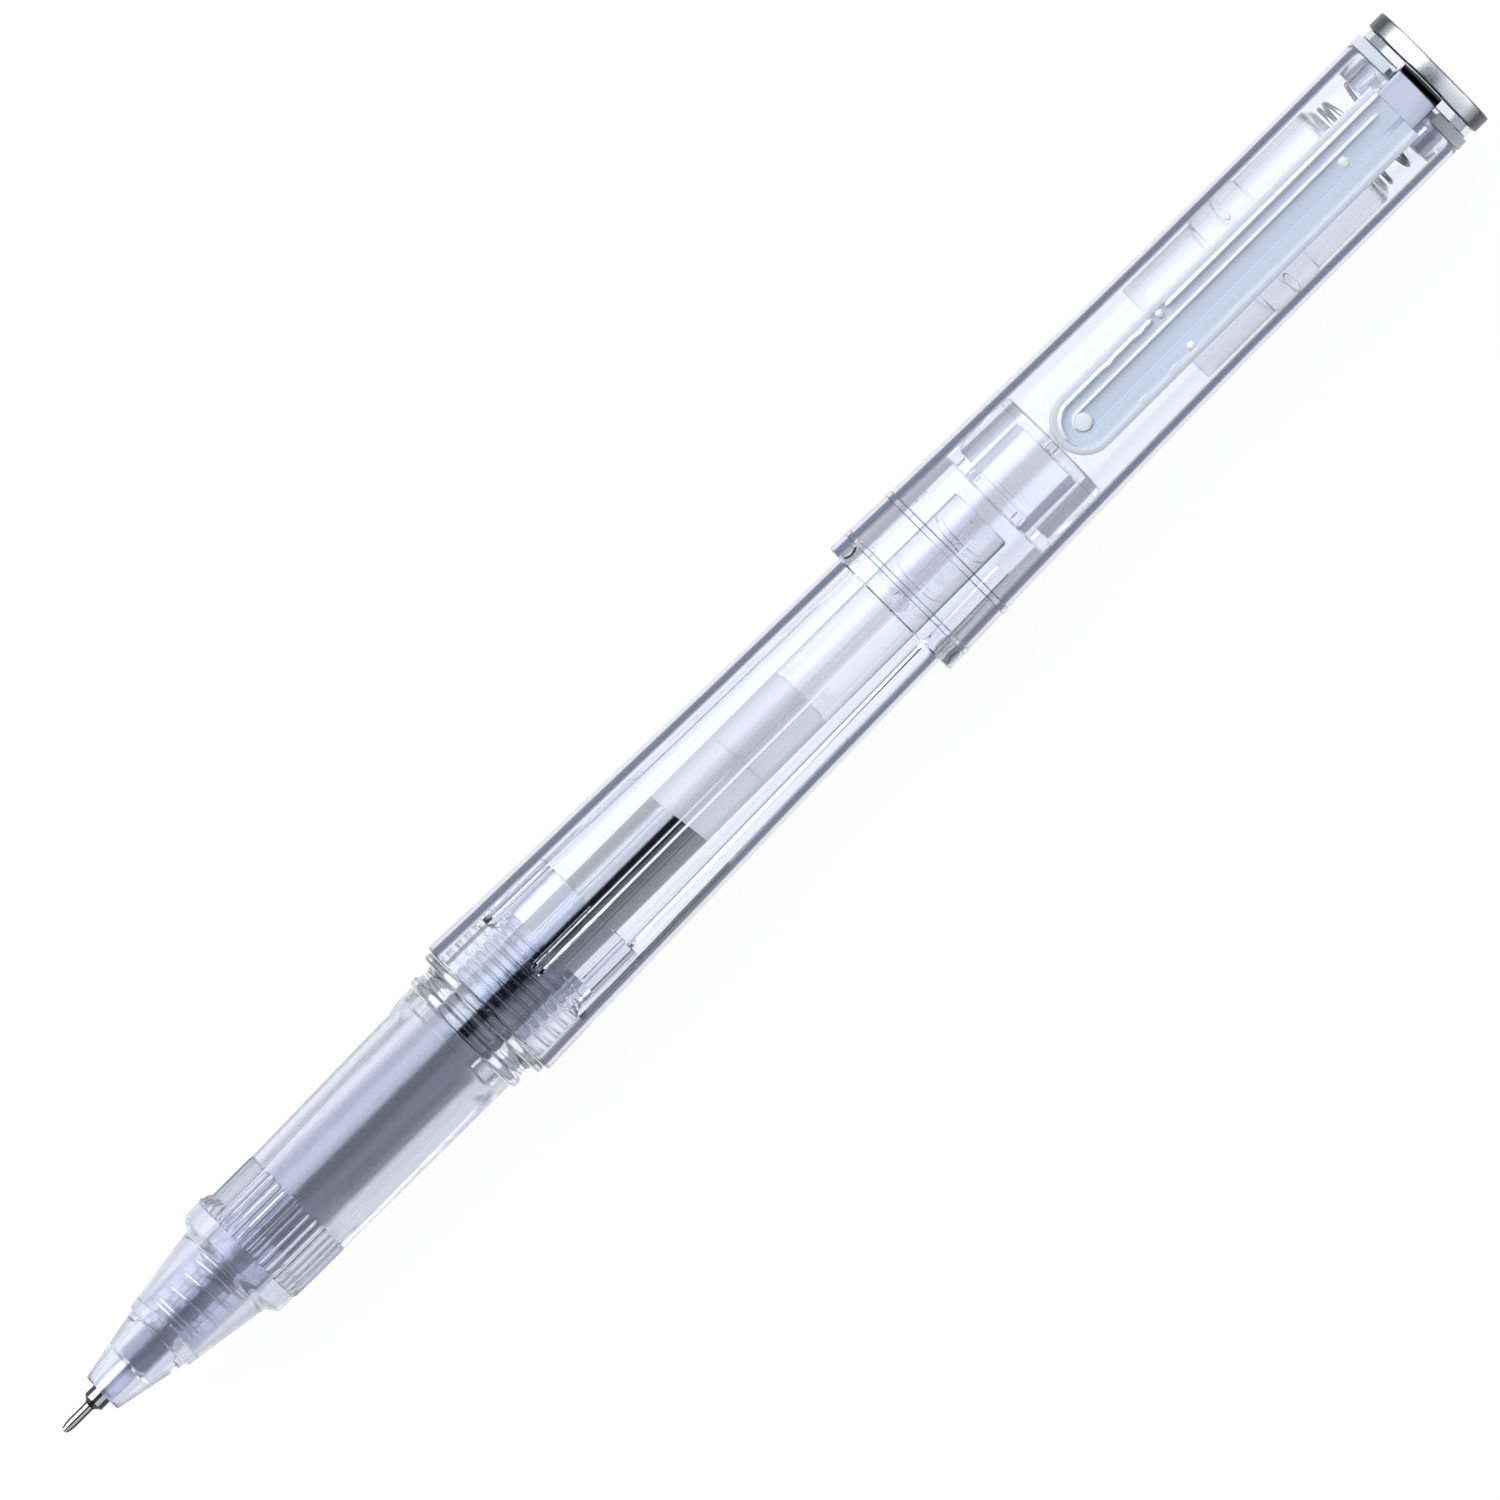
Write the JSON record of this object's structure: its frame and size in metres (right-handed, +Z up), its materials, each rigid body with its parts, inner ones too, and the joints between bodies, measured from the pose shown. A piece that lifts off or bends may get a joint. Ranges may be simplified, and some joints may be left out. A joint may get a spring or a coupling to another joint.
{
  "type": "capped gel-ink pen",
  "caption": "Clear capped needle-point gel pen lying on its side, cap posted on the tail, with refill, springs, screw-in grip section, sealed inner cap and sprung clip.",
  "frame": {"origin": "on the surface the pen lies on, under the middle of its length and on its centre line", "axes": "+X along the pen from the writing tip to the crown, +Z up with the clip facing up"},
  "size_m": [0.166, 0.0146, 0.0163],
  "materials": {
    "clear_plastic": "clear moulded polycarbonate, polished",
    "frosted_plastic": "frosted translucent plastic, fine matt grain",
    "white_plastic": "frosted white plastic",
    "arm_plastic": "pale blue translucent plastic, satin",
    "spring_steel": "drawn spring wire",
    "tip_steel": "turned stainless steel",
    "chrome": "bright plated strip",
    "satin_metal": "satin turned metal",
    "carbide": "ground carbide ball",
    "ink": "dark gel ink",
    "grease": "pale beige follower grease",
    "grey_plastic": "greyish translucent plastic"
  },
  "bodies": {
    "barrel": {"barrel": "clear_plastic", "barrel_insert": "clear_plastic", "tail_plug": "clear_plastic"},
    "refill": {"needle_tip": "tip_steel", "tip_holder": "frosted_plastic", "ink_tube": "clear_plastic", "ink_column": "ink", "ink_follower": "grease", "follower_float": "grey_plastic", "front_spring": "spring_steel"},
    "section": {"grip_section": "frosted_plastic", "section_connector": "clear_plastic"},
    "writing_ball": {"writing_ball": "carbide"},
    "valve_ball": {"valve_ball": "spring_steel"},
    "cap": {"cap_tube": "clear_plastic", "crown_neck": "clear_plastic", "crown_ring": "white_plastic", "crown_disc": "satin_metal", "clip_anchor": "chrome", "cap_spring": "spring_steel"},
    "inner_cap": {"inner_cap": "frosted_plastic"},
    "clip": {"clip_arm": "arm_plastic", "clip_strip": "chrome"}
  },
  "joints": [
    {"name": "section_advance", "type": "slide", "parent": "barrel", "child": "refill", "axis": [-1, 0, 0], "range_m": [0, 0.0042]},
    {"name": "section_turn", "type": "hinge", "parent": "refill", "child": "section", "pos_m": [-0.03305, 0, 0.00732], "axis": [-1, 0, 0], "range_deg": [0, 1440]},
    {"name": "ball_roll", "type": "hinge", "parent": "refill", "child": "writing_ball", "pos_m": [-0.08278, 0, 0.00732], "axis": [0, 1, 0], "continuous": true},
    {"name": "valve_ball_travel", "type": "slide", "parent": "refill", "child": "valve_ball", "axis": [-1, 0, 0], "range_m": [0, 0.0013]},
    {"name": "cap_pull", "type": "slide", "parent": "barrel", "child": "cap", "axis": [1, 0, 0], "range_m": [0, 0.03]},
    {"name": "inner_cap_press", "type": "slide", "parent": "cap", "child": "inner_cap", "axis": [1, 0, 0], "range_m": [0, 0.0025], "stiffness_N_per_m": 200, "springref_m": -0.0015, "deforming": ["cap_spring"]},
    {"name": "clip_flex", "type": "hinge", "parent": "cap", "child": "clip", "pos_m": [0.08095, 0, 0.01362], "axis": [0, 1, 0], "range_deg": [0, 6.5], "stiffness_Nm_per_rad": 1.5, "springref_deg": -1.15}
  ],
  "couplings": [
    {"joint": "section_turn", "follows": "section_advance", "rad_per_m": 5984}
  ]
}
